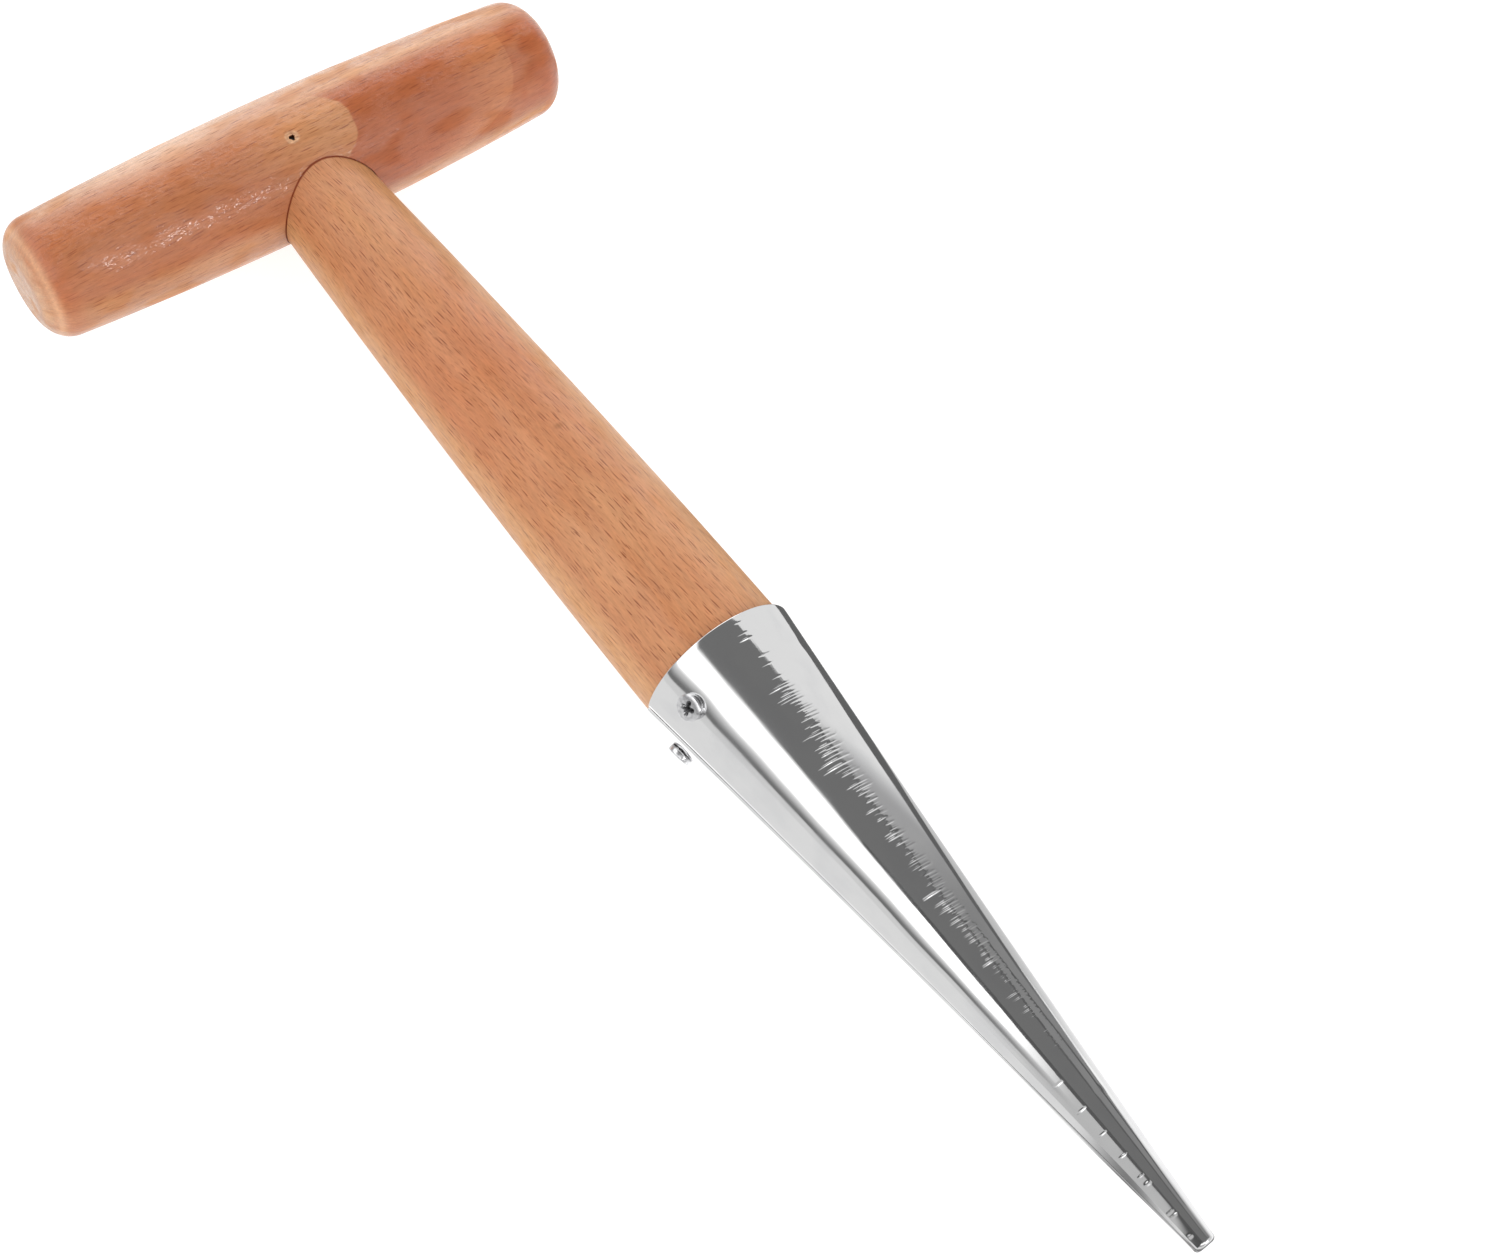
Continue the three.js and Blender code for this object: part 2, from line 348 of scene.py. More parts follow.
def tear_round_brad(piece):
    """Sinks and roughens the fibres round the brad's hole, on a mesh made finer there."""
    pit_depth = 0.14
    pit_radius = 1.0
    pit_width = 0.45
    sunk_depth = 0.12
    sunk_radius = 1.9
    back = (BAR @ brad_place()).inverted()
    mesh = bmesh.new()
    mesh.from_mesh(piece.data)

    def distance(point):
        own = back @ (point / MM)
        return math.hypot(own.x, own.y) if own.z > 0 else BAR_LENGTH

    reach = TORN_RADIUS + 0.6
    near = [edge for edge in mesh.edges if max(distance(v.co) for v in edge.verts) < reach]
    bmesh.ops.subdivide_edges(mesh, edges=near, cuts=4, use_grid_fill=True)
    for vertex in mesh.verts:
        away = distance(vertex.co)
        if away < TORN_RADIUS:
            own = back @ (vertex.co / MM)
            ragged = waver(own.x * 1.4, own.y * 0.7, 0, 0.8)
            ring = math.exp(-(((away - pit_radius) / pit_width) ** 2))
            pit = pit_depth * ring * (0.7 + 1.5 * ragged)
            sunk = sunk_depth * math.exp(-((away / sunk_radius) ** 2))
            own.z -= pit + sunk
            vertex.co = BAR @ brad_place() @ own * MM
    mesh.to_mesh(piece.data)
    mesh.free()


def crossbar():
    """A barrel with rounded ends, with the shaft's socket and the brad's hole."""
    half = BAR_LENGTH / 2
    start = half - BAR_ROUND_ALONG
    belly = [(bar_radius(abs(y)) - INSET, y) for y in steps(-start, start, 170)]
    rounding = []
    for angle in steps(0, math.pi / 2, 14)[1:]:
        radius = BAR_END_RADIUS - INSET - BAR_ROUND_ACROSS * (1 - math.cos(angle))
        rounding.append((radius, start + (BAR_ROUND_ALONG - INSET) * math.sin(angle)))
    disc_radius = BAR_END_RADIUS - INSET - BAR_ROUND_ACROSS
    disc = [(disc_radius * share, half - INSET) for share in (0.8, 0.55, 0.3, 0.1)]
    upper = rounding + disc
    lower = [(radius, -y) for radius, y in reversed(upper)]
    profile = [(0, -half + INSET), *lower, *belly, *upper, (0, half - INSET)]
    uneven = hand_turned(depth=0.06, size=9)
    piece = turned("turned_crossbar", profile, BAR_FACETS, BAR @ ALONG_BAR, uneven)
    tear_round_brad(piece)

    mortise_radius = TENON_RADIUS + SOCKET_GAP
    mouth = BAR_MID_RADIUS + 1
    floor = -TENON_REACH - FIT_GAP
    mortise = [(0, floor), (mortise_radius, floor), (mortise_radius, mouth), (0, mouth)]
    cut(piece, turned("mortise", mortise, BAR_FACETS, SHAFT @ ALONG_SHAFT))
    cut(piece, brad_cutter())
    return piece


def shaft():
    """A tenon, a flaring grip and a tapered spigot, with the fasteners' holes."""
    tenon = [
        (0, -TENON_REACH),
        (TENON_RADIUS - TENON_CHAMFER, -TENON_REACH),
        (TENON_RADIUS, -TENON_REACH + TENON_CHAMFER),
        *[(TENON_RADIUS, x) for x in steps(0, BAR_MID_RADIUS, 10)],
    ]
    flare = [(shaft_radius(x), x) for x in steps(BAR_MID_RADIUS, RIM_X, 150)[1:]]
    spigot = [(spigot_radius(d), RIM_X + d) for d in steps(0, SPIGOT_LENGTH, 40)[1:]]
    profile = [*tenon, *flare, *spigot, (0, RIM_X + SPIGOT_LENGTH)]
    uneven = hand_turned(depth=0.05, size=11)
    piece = turned("turned_shaft", profile, SHAFT_FACETS, SHAFT @ ALONG_SHAFT, uneven)
    cut(piece, brad_cutter())
    for screw in SCREWS:
        cut(piece, screw_hole(screw))
    return piece


def screw_hole(screw):
    """A cutter that is longer than the screw at both ends."""
    bottom = -SCREW_SHANK_LENGTH - 1
    top = 4
    profile = [(0, bottom), (SCREW_HOLE_RADIUS, bottom), (SCREW_HOLE_RADIUS, top), (0, top)]
    return turned("screw_hole", profile, HOLE_FACETS, SHAFT @ screw_place(screw))


# ---------------- the rolled sheet

CORNER_STEPS = 3
ROUND_STEPS = 96
BODY_STEPS = 120  # from the rim to where the sheet closes
CLOSED_STEPS = 18


def section_wall(radius, half_gap, edge, outwards):
    """One wall of the rolled sheet's section, as (angle, radius) pairs from one lip of the seam,
    round the cone, to the other lip. outwards is 1 for the outer wall and -1 for the inner."""
    centre = radius - outwards * edge
    across = half_gap + edge
    lean = math.asin(min(across / centre, 1))
    lip = []
    for turn in steps(-math.pi / 2, lean if outwards > 0 else lean - math.pi, CORNER_STEPS):
        t = centre * math.sin(lean) + edge * math.sin(turn)
        u = centre * math.cos(lean) + edge * math.cos(turn)
        lip.append((math.atan2(t, u), math.hypot(t, u)))
    middle = [(angle, radius) for angle in steps(lean, 2 * math.pi - lean, ROUND_STEPS)[1:-1]]
    far_lip = [(2 * math.pi - angle, r) for angle, r in reversed(lip)]
    return lip + middle + far_lip


def sheet_shape(angle, from_rim):
    """How far the sheet lies inside a true cone: screw seats and soft flats."""
    uneven = waver(3 * math.sin(angle), 3 * math.cos(angle), from_rim / 14, 1.3)
    depth = SHEET_FLATS * (0.5 + 0.5 * uneven)
    for screw in SCREWS:
        away = math.remainder(angle - math.radians(screw.angle), 2 * math.pi)
        distance = math.hypot(away * cone_radius(from_rim), from_rim - screw.from_rim)
        depth += SHEET_SEAT * math.exp(-((distance / SHEET_SEAT_RADIUS) ** 2))
    return depth


def cone_stations():
    """(from the rim, outer radius, inner radius, half the seam's gap, edge radius) along the cone."""
    hollow_end = CONE_LENGTH - SOLID_TIP

    def inner(from_rim):
        if from_rim <= hollow_end:
            return cone_radius(from_rim) - SHEET
        closing = min((from_rim - hollow_end) / SHEET_CLOSING, 1)
        return (cone_radius(hollow_end) - SHEET) * (1 - closing) + SHEET_CORE * closing

    def half_gap(from_rim):
        if from_rim <= hollow_end:
            return (SEAM_AT_RIM + (SEAM_AT_TIP - SEAM_AT_RIM) * from_rim / hollow_end) / 2
        return SEAM_AT_TIP / 2 * (1 - SEAM_PINCH * (from_rim - hollow_end) / SOLID_TIP)

    stations = []
    for turn in steps(0, math.pi / 2, 5):
        short = SHEET_EDGE * (1 - math.sin(turn))
        x = SHEET_EDGE * (1 - math.cos(turn))
        edge = max(SHEET_EDGE - short, INSET)
        stations.append((x, cone_radius(x) - short, inner(x) + short, half_gap(x) + short, edge))
    body_end = CONE_LENGTH - INSET - TIP_ROUNDING
    hollow = steps(SHEET_EDGE, hollow_end, BODY_STEPS)[1:]
    closed = steps(hollow_end, body_end, CLOSED_STEPS)[1:]
    for x in hollow + closed:
        edge = min(SHEET_EDGE, (cone_radius(x) - inner(x)) / 3)
        stations.append((x, cone_radius(x), inner(x), half_gap(x), edge))
    for turn in steps(0, math.pi / 2, 8)[1:]:
        x = body_end + TIP_ROUNDING * math.sin(turn)
        outer = cone_radius(body_end) - TIP_ROUNDING * (1 - math.cos(turn))
        stations.append((x, outer, inner(x), half_gap(x), 0.1))
    return stations


def cone_sheath():
    """The sheet rolled round the spigot: two walls that meet at the seam's lips."""
    stations = cone_stations()
    points = []
    for x, outer, inner, half_gap, edge in stations:
        outside = section_wall(outer, half_gap, edge, 1)
        inside = section_wall(inner, half_gap, edge, -1)
        for turn, radius in outside + inside[::-1]:
            angle = math.radians(SEAM_ANGLE) + turn
            inset = INSET + sheet_shape(angle, x) * min(radius / 3, 1)
            points.append(sheet_point(x, angle, radius - inset))
    size = len(points) // len(stations)
    faces = tube_faces(len(stations), size)
    last = len(points) - size
    for i in range(size // 2 - 1):
        faces.append((i, i + 1, size - 2 - i, size - 1 - i))
        faces.append((last + i, last + size - 1 - i, last + size - 2 - i, last + i + 1))
    piece = new_mesh("rolled_cone", points, faces, SHAFT)
    press_marks(piece)
    for screw in SCREWS:
        cut(piece, screw_hole(screw))
    return piece


def chatter_creases():
    """Fine creases side by side in a row along the sheet's top, sparse near the rim."""
    pick = random.Random(CHATTER_SEED)
    creases = []
    from_rim = CHATTER_START
    while from_rim < CHATTER_END:
        share = (from_rim - CHATTER_START) / (CHATTER_END - CHATTER_START)
        fading = 1 - 0.8 * max(share - CHATTER_FADES, 0) / (1 - CHATTER_FADES)
        strong = pick.random() ** 3
        width = pick.uniform(0.12, 0.2)
        angle = CHATTER_ANGLE + pick.uniform(-2.5, 4.5) - 9 * strong
        reach = (1.2 + 2.2 * strong + 1.2 * pick.random()) * (1 - 0.35 * share)
        depth = width * (0.2 + 0.5 * pick.random() + 0.15 * strong) * fading
        creases.append(Crease(from_rim, angle, reach, width, depth))
        gap = CHATTER_GAP if share > CHATTER_THICKENS else CHATTER_GAP_AT_RIM
        from_rim += gap * pick.uniform(0.35, 1.8)
    return creases


def sheet_coordinates(vertex):
    """A vertex's distance from the rim, angle about the shaft and distance from its axis."""
    own = SHAFT_BACK @ (vertex.co / MM)
    return own.x - RIM_X, math.atan2(own.y, own.z), math.hypot(own.y, own.z)


def sheet_point(from_rim, angle, radius):
    """The point in the shaft's frame that has those coordinates."""
    return Vector((RIM_X + from_rim, radius * math.sin(angle), radius * math.cos(angle)))


def refine(mesh, lengths, angles, along, around):
    """Splits the outer wall's faces between two lengths from the rim and two angles in degrees,
    into along parts lengthways and around parts across."""

    def inside(from_rim, angle, radius):
        outer = radius > cone_radius(from_rim) - OUTER_WALL
        return outer and lengths[0] < from_rim < lengths[1] and angles[0] < math.degrees(angle) < angles[1]

    for parts, lengthways in ((along, True), (around, False)):
        chosen = []
        for edge in mesh.edges:
            ends = [sheet_coordinates(vertex) for vertex in edge.verts]
            runs_along = abs(ends[0][0] - ends[1][0]) > 1e-3
            if runs_along == lengthways and all(inside(*end) for end in ends):
                chosen.append(edge)
        bmesh.ops.subdivide_edges(mesh, edges=chosen, cuts=parts - 1)


def press_marks(piece):
    """Presses the creases into the sheet's outer wall, on a mesh made finer where they lie."""
    mesh = bmesh.new()
    mesh.from_mesh(piece.data)
    refine(mesh, **CHATTER_AREA)
    refine(mesh, **TIP_AREA)
    for dent in DENTS:
        reach = 2 * dent.reach + 1
        turn = math.degrees(reach / cone_radius(dent.from_rim))
        lengths = (dent.from_rim - reach, dent.from_rim + reach)
        refine(mesh, lengths, (dent.angle - turn, dent.angle + turn), along=5, around=3)
    creases = sorted(chatter_creases() + TIP_CREASES)
    places = [crease.from_rim for crease in creases]
    for vertex in mesh.verts:
        from_rim, angle, radius = sheet_coordinates(vertex)
        if radius < cone_radius(from_rim) - OUTER_WALL:
            continue
        first = bisect.bisect_left(places, from_rim - CREASE_NEAR)
        last = bisect.bisect_right(places, from_rim + CREASE_NEAR)
        depth = 0
        for crease in creases[first:last]:
            across = (angle - math.radians(crease.angle)) * radius
            share = across / crease.reach
            if abs(share) < 1:
                off = (from_rim - crease.from_rim - CREASE_LEAN * across) / crease.width
                depth += crease.depth * math.exp(-off * off) * (1 - share * share)
        for dent in DENTS:
            across = (angle - math.radians(dent.angle)) * radius
            away = math.hypot(across, from_rim - dent.from_rim) / dent.reach
            if away < 3:
                depth += dent.depth * math.exp(-away * away)
        if depth:
            vertex.co = SHAFT @ sheet_point(from_rim, angle, radius - depth) * MM
    mesh.to_mesh(piece.data)
    mesh.free()


# ---------------- the fasteners

def cross_recess(place, top):
    """A cutter for a cross recess: a rounded cross that narrows towards its bottom."""
    straight = RECESS_HALF_SPAN - RECESS_HALF_WIDTH
    arm = [(RECESS_HALF_WIDTH, RECESS_HALF_WIDTH)]
    for angle in steps(0, math.pi, 6):
        across = RECESS_HALF_WIDTH * math.cos(angle)
        arm.append((across, straight + RECESS_HALF_WIDTH * math.sin(angle)))
    outline = []
    for quarter in range(4):
        turn = Matrix.Rotation(math.pi / 2 * quarter, 2)
        outline += [turn @ Vector(point) for point in arm]
    # Each ring is the cross at a scale and a height.
    rings = [(1.12, top + 0.5), (1, top), (0.78, top - 0.35), (0.5, top - 0.8)]
    rings += [(0.3, top - RECESS_DEPTH)]
    points = [(x * scale, y * scale, z) for scale, z in rings for x, y in outline]
    size = len(outline)
    faces = [tuple(range(size)), tuple(range(len(points) - 1, len(points) - 1 - size, -1))]
    faces += tube_faces(len(rings), size)
    return new_mesh("recess", points, faces, place)


def sheath_screw(screw):
    """A pan-head screw with a cross recess and a threaded shank."""
    place = SHAFT @ screw_place(screw)
    base = -SHEET_SEAT
    end = -SCREW_SHANK_LENGTH
    shoulder = base + 0.6 * (SCREW_TOP - base)
    point = [(0, end), (0.3, end + 0.5), (0.7, end + 1.3)]
    shank = [(SCREW_CORE, z) for z in steps(end + SCREW_POINT, base, 60)]
    under = [(SCREW_HEAD_RADIUS - 0.25, base), (SCREW_HEAD_RADIUS - 0.08, base + 0.06)]
    side = [(SCREW_HEAD_RADIUS, base + up) for up in (0.22, 0.5, 0.7)]
    dome = []
    for turn in steps(0, math.pi / 2, 18)[:-1]:
        rise = (SCREW_TOP - shoulder) * math.sin(turn) ** 0.5
        dome.append((SCREW_HEAD_RADIUS * math.cos(turn), shoulder + rise))
    profile = [*point, *shank, *under, *side, *dome, (0, SCREW_TOP)]

    def thread(angle, radius, z):
        if radius != SCREW_CORE or z > base - FIT_GAP:
            return radius
        turns = z / SCREW_PITCH - angle / (2 * math.pi)
        return SCREW_CORE + SCREW_THREAD * (1 - abs(2 * (turns % 1) - 1)) ** 2

    piece = turned("pan_screw_" + screw.name, profile, SCREW_FACETS, place, thread)
    cut(piece, cross_recess(place, SCREW_TOP))
    return piece


def brad():
    """A headed nail, set below the surface."""
    top = bar_radius(abs(BRAD_Y)) - BRAD_SET
    neck = top - BRAD_HEAD_HEIGHT
    point = neck - BRAD_LENGTH
    head = BRAD_HEAD_RADIUS - 0.04
    taper = point + 3 * BRAD_SHANK_RADIUS
    profile = [(0, point), (0.12, point + 0.3), (BRAD_SHANK_RADIUS, taper)]
    profile += [(BRAD_SHANK_RADIUS, neck - 0.4), (head - 0.08, neck), (head, neck + 0.12)]
    profile += [(head, top - 0.2), (head - 0.1, top - 0.06), (head - 0.25, top - 0.01)]
    profile += [(0.25, top - 0.05), (0, top - 0.06)]
    return turned("crossbar_nail", profile, BRAD_FACETS, BAR @ brad_place())


# ---------------- material helpers

class Graph:
    """A node tree built by calls, each of which gives the output socket it made."""

    def __init__(self, tree):
        self.tree = tree

    def node(self, kind, inputs=None, **settings):
        made = self.tree.nodes.new(kind)
        for name, value in settings.items():
            setattr(made, name, value)
        for key, value in (inputs or {}).items():
            self.join(made.inputs[key], value)
        return made

    def add(self, kind, inputs=None, output=0, **settings):
        return self.node(kind, inputs, **settings).outputs[output]

    def join(self, socket, value):
        if isinstance(value, bpy.types.NodeSocket):
            self.tree.links.new(value, socket)
        else:
            socket.default_value = value

    def math(self, operation, *values):
        return self.add("ShaderNodeMath", dict(enumerate(values)), operation=operation)

    def times(self, first, *others):
        for other in others:
            first = self.math("MULTIPLY", first, other)
        return first

    def plus(self, first, *others):
        for other in others:
            first = self.math("ADD", first, other)
        return first

    def minus(self, a, b):
        return self.math("SUBTRACT", a, b)

    def vector(self, operation, a, b):
        return self.add("ShaderNodeVectorMath", {0: a, 1: b}, operation=operation)

    def length(self, a):
        return self.add("ShaderNodeVectorMath", {0: a}, output="Value", operation="LENGTH")

    def scaled(self, a, share):
        return self.add("ShaderNodeVectorMath", {0: a, "Scale": share}, operation="SCALE")

    def smooth(self, value, start, end):
        """0 before start, 1 after end, and smooth in between. start may lie after end."""
        inputs = {"Value": value, "From Min": start, "From Max": end}
        return self.add("ShaderNodeMapRange", inputs, interpolation_type="SMOOTHSTEP")

    def bell(self, value, middle, reach):
        """1 at the middle, and 0 further than reach from it."""
        return self.smooth(self.math("ABSOLUTE", self.minus(value, middle)), reach, 0)

    def between(self, value, low, high):
        """A value from 0 to 1 as one from low to high."""
        return self.add("ShaderNodeMapRange", {"Value": value, "To Min": low, "To Max": high})

    def mix(self, factor, a, b):
        return self.add("ShaderNodeMix", {"Factor": factor, 6: a, 7: b}, output=2, data_type="RGBA")

    def tint(self, colour, other, *shares):
        """The colour, mixed with another by the product of the shares."""
        return self.mix(self.times(*shares), colour, other)

    def parts(self, vector):
        return self.node("ShaderNodeSeparateXYZ", {0: vector}).outputs

    def noise(self, vector, scale, detail=2.0, roughness=0.5, output="Fac"):
        """Noise whose pattern is as fine as scale, a vector that is multiplied in."""
        inputs = {"Vector": self.vector("MULTIPLY", vector, scale), "Scale": 1.0}
        inputs |= {"Detail": detail, "Roughness": roughness}
        return self.add("ShaderNodeTexNoise", inputs, output=output)

    def own_place(self, place):
        """The point's place in a piece's own frame, in millimetres."""
        back = place.inverted()
        inputs = {
            "Vector": self.add("ShaderNodeTexCoord", output="Object"),
            "Location": back.to_translation(),
            "Rotation": back.to_euler(),
            "Scale": (1 / MM, 1 / MM, 1 / MM),
        }
        return self.add("ShaderNodeMapping", inputs)

    def from_axis(self, across, up):
        """The distance from an axis of a point that lies across and up from it."""
        return self.math("SQRT", self.plus(self.times(across, across), self.times(up, up)))


def new_material(name):
    material = bpy.data.materials.new(name)
    material.use_nodes = True
    material.node_tree.nodes.clear()
    return material, Graph(material.node_tree)


def surface(graph, **sockets):
    """A Principled surface. Underscores in the keywords stand for spaces."""
    inputs = {name.replace("_", " "): value for name, value in sockets.items()}
    shader = graph.add("ShaderNodeBsdfPrincipled", inputs)
    graph.node("ShaderNodeOutputMaterial", {"Surface": shader})


def bump(graph, height, depth, under=None):
    """Relief of a height from 0 to 1 over a depth in millimetres, on top of another's normal."""
    inputs = {"Height": height, "Strength": 1.0, "Distance": depth * MM}
    if under is not None:
        inputs["Normal"] = under
    return graph.add("ShaderNodeBump", inputs)


def linear(red, green, blue):
    """A colour given as sRGB numbers from 0 to 255."""
    channels = []
    for value in (red, green, blue):
        share = value / 255
        channels.append(share / 12.92 if share <= 0.04045 else ((share + 0.055) / 1.055) ** 2.4)
    return (*channels, 1.0)


# ---------------- beech

SHAFT_LIGHT = linear(200, 140, 96)
SHAFT_DARK = linear(190, 125, 82)
SHAFT_RED = linear(190, 114, 72)
# a painted sheen, laid on the shaft's two sides
SHAFT_FLANK_SHEEN = linear(205, 151, 101)
SHAFT_FLECK = linear(118, 48, 20)
Knot = namedtuple("Knot", "x angle strength")
SHAFT_KNOTS = [Knot(51, 20, 0.35), Knot(93.4, 3.5, 0.6)]
KNOT = linear(150, 92, 52)
FLECK_RADIUS = 13.5
FLECK_SLANT = -0.05
LONG_FLECKS = {"cell": (4.6, 1.15), "half_size": (2.0, 0.14), "seed": 3.1}
FINE_FLECKS = {"cell": (2.5, 0.65), "half_size": (0.95, 0.09), "seed": 8.7}
SAPWOOD = linear(208, 147, 100)
SAPWOOD_DARK = linear(190, 124, 77)
BACK_SHEEN = linear(236, 194, 160)
HEARTWOOD = linear(176, 94, 52)
HEARTWOOD_PALE = linear(197, 123, 78)
BAR_FLECK = linear(118, 46, 20)
ROUNDING_HIGHLIGHT = linear(222, 172, 132)
END_GRAIN = linear(206, 162, 126)
END_GRAIN_DARK = linear(192, 140, 102)
END_GRAIN_EDGE = linear(172, 112, 74)
GLUE_LINE = linear(140, 60, 22)
TORN_WOOD = linear(228, 182, 140)
HOLE_SHADE = linear(130, 72, 44)

# The crossbar's growth layers are nested tongues that point to its +Y end. The first, round the
# brad, is pale sapwood. A layer's depth is measured along a line leant from +Z towards +X.
TONGUE_LEAN = 25
PALE_DEPTH = 11.5
PALE_TIP = 0.021  # how fast the pale tongue narrows, per millimetre squared
RED_LEAN = 47
# The next two leans are no layers: along the first the wood is darkened, a painted shade, and along the
# second it gets a painted sheen.
SHADE_LEAN = 66
BACK_LEAN = -50
DEEP_Y = 48.8
DEEP_BEND = 0.14


def beech_grain(graph, place):
    """A piece's own coordinates, along the grain first, a little wavy across it."""
    own = graph.own_place(place)
    slow = graph.noise(own, (0.02, 0.06, 0.06), output="Color")
    drift = graph.vector("MULTIPLY", graph.vector("SUBTRACT", slow, (0.5, 0.5, 0.5)), (0, 5, 5))
    return graph.vector("ADD", own, drift)


def flecks(graph, skin, cell, half_size, seed):
    """Spindle-shaped ray flecks, one to a jittered cell: long along the grain, thin across it."""
    scaled = graph.vector("ADD", graph.vector("DIVIDE", skin, (*cell, 1)), (seed, 2 * seed, 0))
    inputs = {"Vector": scaled, "Scale": 1.0}
    nearest = graph.node("ShaderNodeTexVoronoi", inputs, voronoi_dimensions="2D").outputs
    away = graph.vector("SUBTRACT", scaled, nearest["Position"])
    stretch = (cell[0] / half_size[0], cell[1] / half_size[1], 0)
    distance = graph.length(graph.vector("MULTIPLY", away, stretch))
    strength = graph.between(graph.parts(nearest["Color"])[0], 0.15, 1.0)
    return graph.times(graph.smooth(distance, 1.0, 0.3), strength)


def ray_flecks(graph, grain):
    """Long flecks with finer ones between them, all round a turned piece."""
    x, y, z = graph.parts(grain)
    around = graph.times(graph.math("ARCTAN2", y, z), FLECK_RADIUS)
    slanted = graph.plus(around, graph.times(x, FLECK_SLANT))
    skin = graph.add("ShaderNodeCombineXYZ", {"X": x, "Y": slanted})
    long_ones = flecks(graph, skin, **LONG_FLECKS)
    fine_ones = flecks(graph, skin, **FINE_FLECKS)
    return graph.math("MAXIMUM", long_ones, graph.times(fine_ones, 0.65))


def beech_surface(graph, grain, colour, marks, coat, coat_roughness, peel_depth):
    """Lacquered beech of a colour, with fine fibres, sunken flecks and a thin uneven coat."""
    fibres = graph.noise(grain, (0.5, 2.8, 2.8), detail=3.0, roughness=0.65)
    streaks = graph.noise(grain, (0.1, 1.5, 1.5), detail=3.0, roughness=0.6)
    brightness = graph.plus(
        graph.between(graph.smooth(fibres, 0.25, 0.75), 0.58, 0.43),
        graph.between(graph.smooth(streaks, 0.3, 0.7), 0.56, 0.43),
    )
    colour = graph.scaled(colour, brightness)
    ripple = graph.noise(grain, (0.25, 0.4, 0.4))
    peel = graph.noise(grain, (0.6, 1.0, 1.0), detail=3.0, roughness=0.65)
    fine = graph.noise(grain, (0.9, 1.6, 1.6), detail=2.0)
    veins = graph.smooth(graph.math("ABSOLUTE", graph.plus(peel, -0.5)), 0.0, 0.08)
    patchy = graph.noise(grain, (0.1, 0.2, 0.2), detail=1.0)
    relief = graph.minus(graph.times(fibres, 0.5), marks)
    rippled = bump(graph, ripple, 0.1)
    surface(
        graph,
        Base_Color=colour,
        Roughness=graph.between(graph.smooth(ripple, 0.3, 0.7), 0.44, 0.58),
        Normal=bump(graph, relief, 0.015, rippled),
        IOR=1.5,
        Specular_IOR_Level=0.3,
        Coat_Weight=graph.times(graph.smooth(patchy, 0.32, 0.52), coat),
        Coat_Roughness=coat_roughness,
        Coat_IOR=1.5,
        Coat_Normal=bump(graph, veins, peel_depth, bump(graph, fine, peel_depth, rippled)),
    )


def shaft_beech():
    """Pale beech, redder in its middle, with two pin knots, and a painted sheen on both sides."""
    material, graph = new_material("shaft_beech")
    grain = beech_grain(graph, SHAFT)
    own = graph.own_place(SHAFT)
    x, y, z = graph.parts(own)
    bands = graph.noise(grain, (0.012, 0.30, 0.16), detail=3.0)
    clouds = graph.noise(grain, (0.045, 0.11, 0.11))
    tone = graph.plus(graph.times(bands, 0.55), graph.times(clouds, 0.45))
    colour = graph.mix(graph.smooth(tone, 0.36, 0.64), SHAFT_LIGHT, SHAFT_DARK)
    colour = graph.tint(colour, SHAFT_RED, graph.bell(x, 72, 42), 0.55)
    # Painted sheen: both sides of the shaft, seen at a grazing angle, are made lighter and less red.
    around = graph.math("ARCTAN2", y, z)
    flanks = graph.plus(graph.smooth(around, 0.3, 0.85), graph.smooth(around, -0.95, -1.4))
    colour = graph.tint(colour, SHAFT_FLANK_SHEEN, flanks, 0.8)
    marks = ray_flecks(graph, grain)
    colour = graph.tint(colour, SHAFT_FLECK, marks, 0.9)
    for knot in SHAFT_KNOTS:
        angle = math.radians(knot.angle)
        radius = shaft_radius(knot.x)
        centre = (knot.x, radius * math.sin(angle), radius * math.cos(angle))
        away = graph.vector("MULTIPLY", graph.vector("SUBTRACT", own, centre), (1, 0.6, 1))
        distance = graph.plus(graph.length(away), graph.times(bands, 0.5))
        colour = graph.tint(colour, KNOT, graph.smooth(distance, 1.3, 0.4), knot.strength)
    bar_x, _, bar_z = graph.parts(graph.own_place(BAR))
    joint = graph.smooth(graph.from_axis(bar_x, bar_z), BAR_MID_RADIUS + 0.25, BAR_MID_RADIUS)
    colour = graph.tint(colour, GLUE_LINE, joint, 0.95)
    beech_surface(graph, grain, colour, marks, coat=0.25, coat_roughness=0.3, peel_depth=0.02)
    return material


